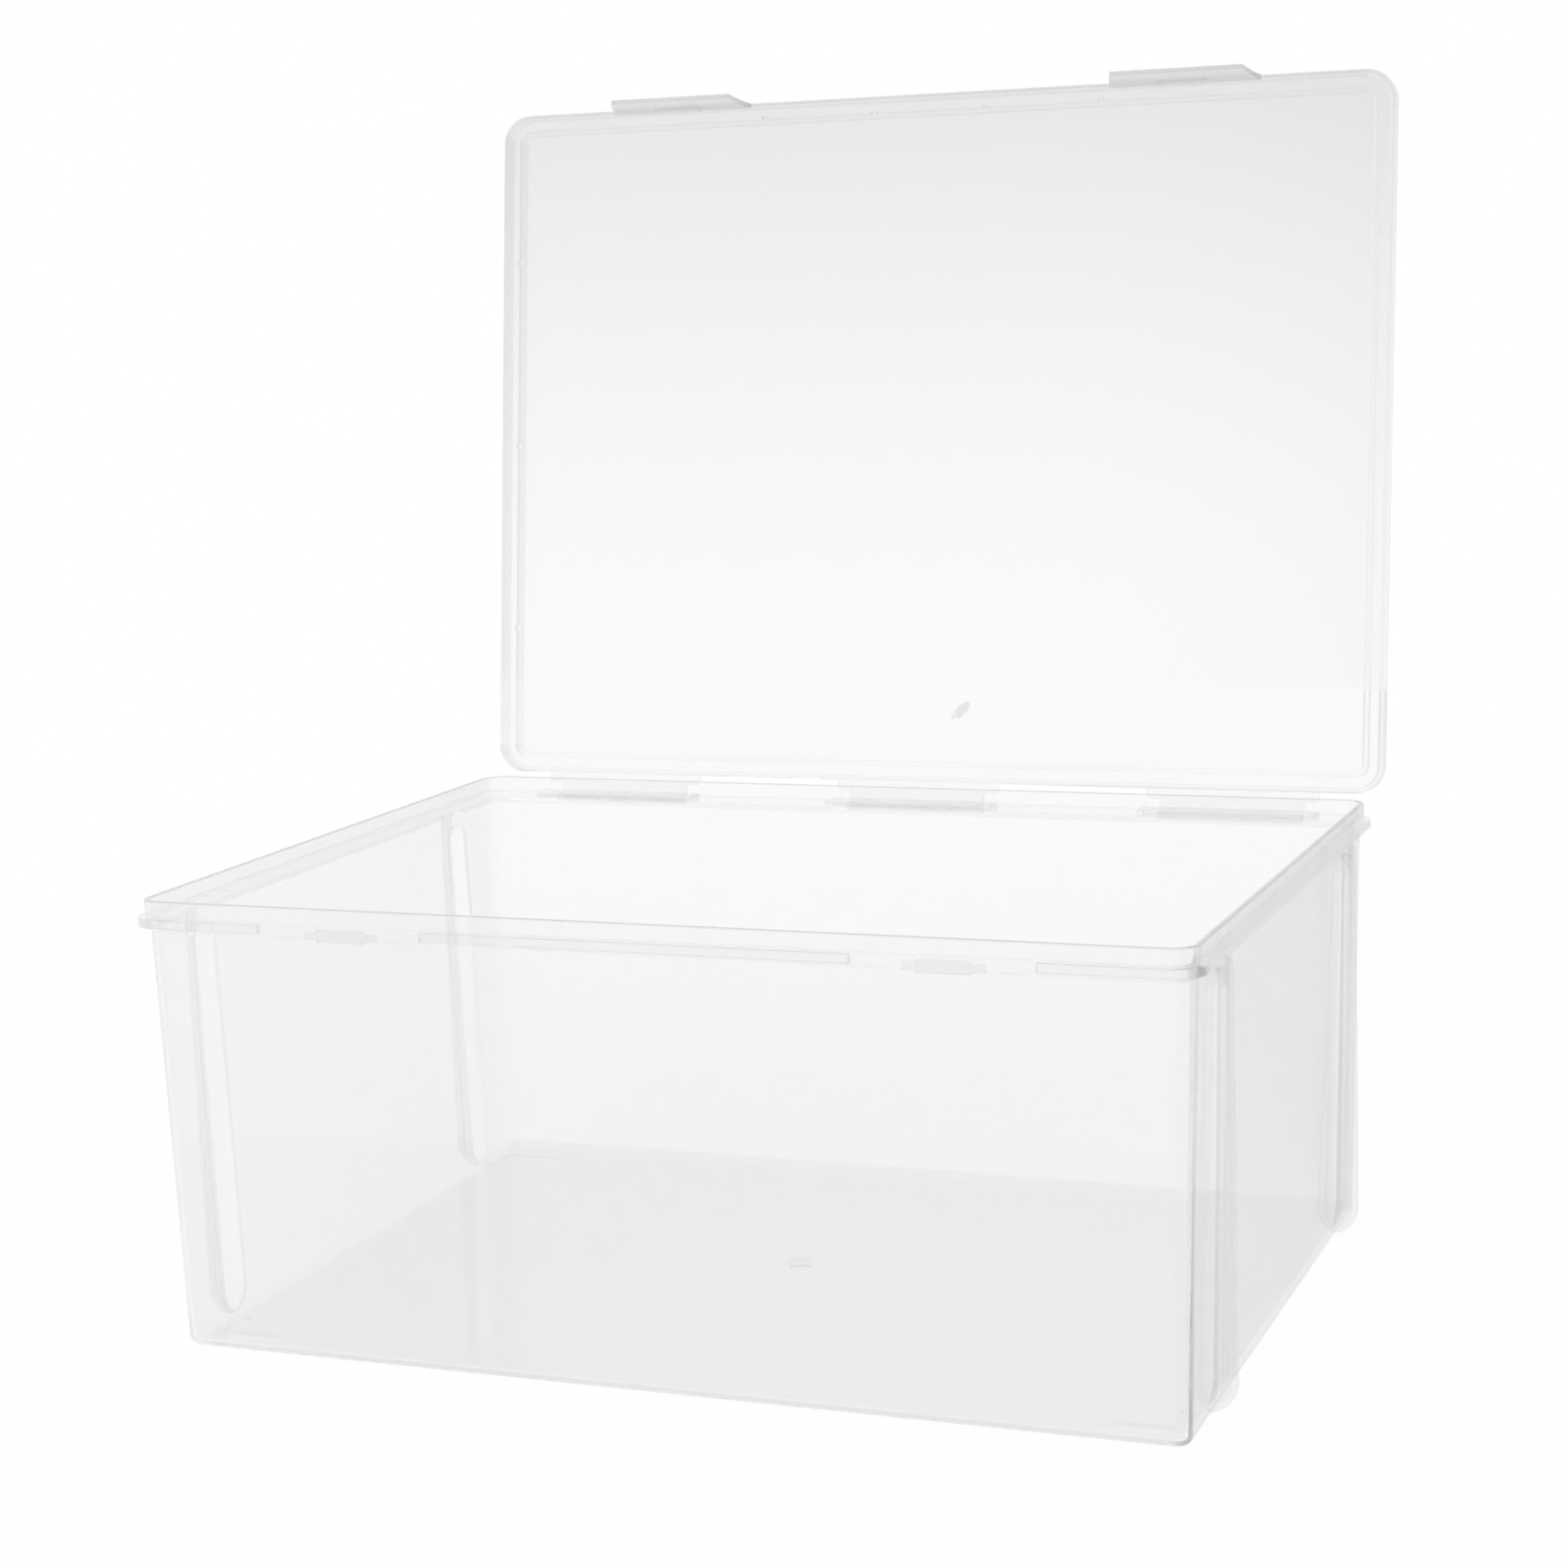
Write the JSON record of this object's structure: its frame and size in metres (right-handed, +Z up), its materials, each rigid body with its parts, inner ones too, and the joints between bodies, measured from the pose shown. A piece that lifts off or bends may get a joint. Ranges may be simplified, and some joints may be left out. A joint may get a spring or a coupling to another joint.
{
  "type": "cd storage box",
  "caption": "Translucent lidded storage box for disc cases, with a hook-hinged lid, half-round side pilasters and snap tabs in front.",
  "frame": {"origin": "centre of the floor's underside, where the box stands", "axes": "+Z up, +Y from the front with its catches to the back with its hinges, +X to the right seen from the front; the lid is open at rest"},
  "size_m": [0.3044, 0.2686, 0.3539],
  "materials": {
    "box_plastic": "clear glossy with a slight haze",
    "lid_plastic": "clear satin with a slight haze"
  },
  "bodies": {
    "box": {"storage_box": "box_plastic"},
    "lid": {"lid": "lid_plastic"},
    "left_tab": {"left_latch_tab": "lid_plastic"},
    "right_tab": {"right_latch_tab": "lid_plastic"}
  },
  "joints": [
    {"name": "lid_hinge", "type": "hinge", "parent": "box", "child": "lid", "pos_m": [0, 0.11875, 0.1226], "axis": [1, 0, 0], "range_deg": [0, 97.3]},
    {"name": "left_tab_flex", "type": "hinge", "parent": "lid", "child": "left_tab", "pos_m": [-0.0857, 0.15032, 0.35094], "axis": [-1, 0, 0], "range_deg": [0, 20], "stiffness_Nm_per_rad": 0.3},
    {"name": "right_tab_flex", "type": "hinge", "parent": "lid", "child": "right_tab", "pos_m": [0.0857, 0.15032, 0.35094], "axis": [-1, 0, 0], "range_deg": [0, 20], "stiffness_Nm_per_rad": 0.3}
  ]
}
